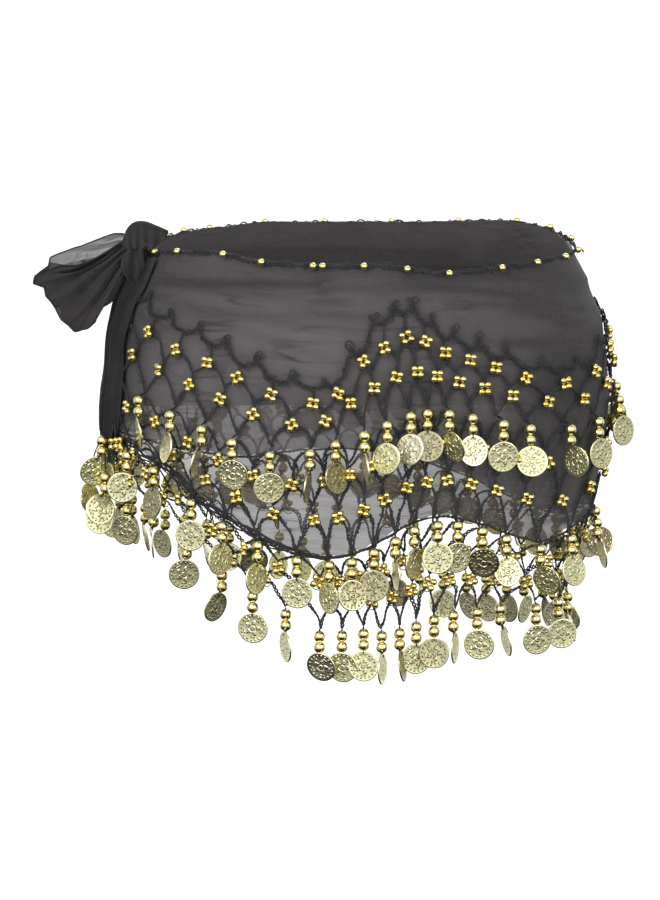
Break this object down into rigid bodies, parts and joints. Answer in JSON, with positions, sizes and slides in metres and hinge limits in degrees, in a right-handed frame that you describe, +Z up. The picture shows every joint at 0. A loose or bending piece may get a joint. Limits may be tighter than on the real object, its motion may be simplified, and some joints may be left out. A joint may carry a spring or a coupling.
{
  "type": "belly dance hip scarf",
  "caption": "Worn sheer hip scarf tied at one side in a half bow, with crocheted wavy nets on and below the cloth and rows of beaded coins; it is open at waist and hem.",
  "frame": {"origin": "middle of the waist opening, at the height where the scarf is held round the waist", "axes": "+Z up, +X from the tied side across the front to the other side, -Y is the way the wearer faces"},
  "size_m": [0.3851, 0.26, 0.2873],
  "materials": {
    "sheer_cloth": "matt, sheer black chiffon",
    "crochet_yarn": "matt black crochet yarn",
    "gold_coins": "bright, lightly antiqued gold tone"
  },
  "bodies": {
    "root": {"chiffon_front": "sheer_cloth", "chiffon_back": "sheer_cloth", "turned_top_front": "sheer_cloth", "turned_top_back": "sheer_cloth", "knot": "sheer_cloth", "bow_loop": "sheer_cloth", "bow_wing": "sheer_cloth", "hanging_tail": "sheer_cloth", "waist_chain_front": "crochet_yarn", "waist_chain_back": "crochet_yarn", "net_upper_front": "crochet_yarn", "net_upper_back": "crochet_yarn", "net_lower_front": "crochet_yarn", "net_lower_back": "crochet_yarn", "net_hem_front_a": "crochet_yarn", "net_hem_front_b": "crochet_yarn", "net_hem_back_a": "crochet_yarn", "net_hem_back_b": "crochet_yarn", "tail_net": "crochet_yarn", "coin_row_1_front": "gold_coins", "coin_row_1_back": "gold_coins", "coin_row_2_front": "gold_coins", "coin_row_2_back": "gold_coins", "coin_row_3_front": "gold_coins", "coin_row_3_back": "gold_coins", "tail_coins": "gold_coins"}
  },
  "joints": []
}
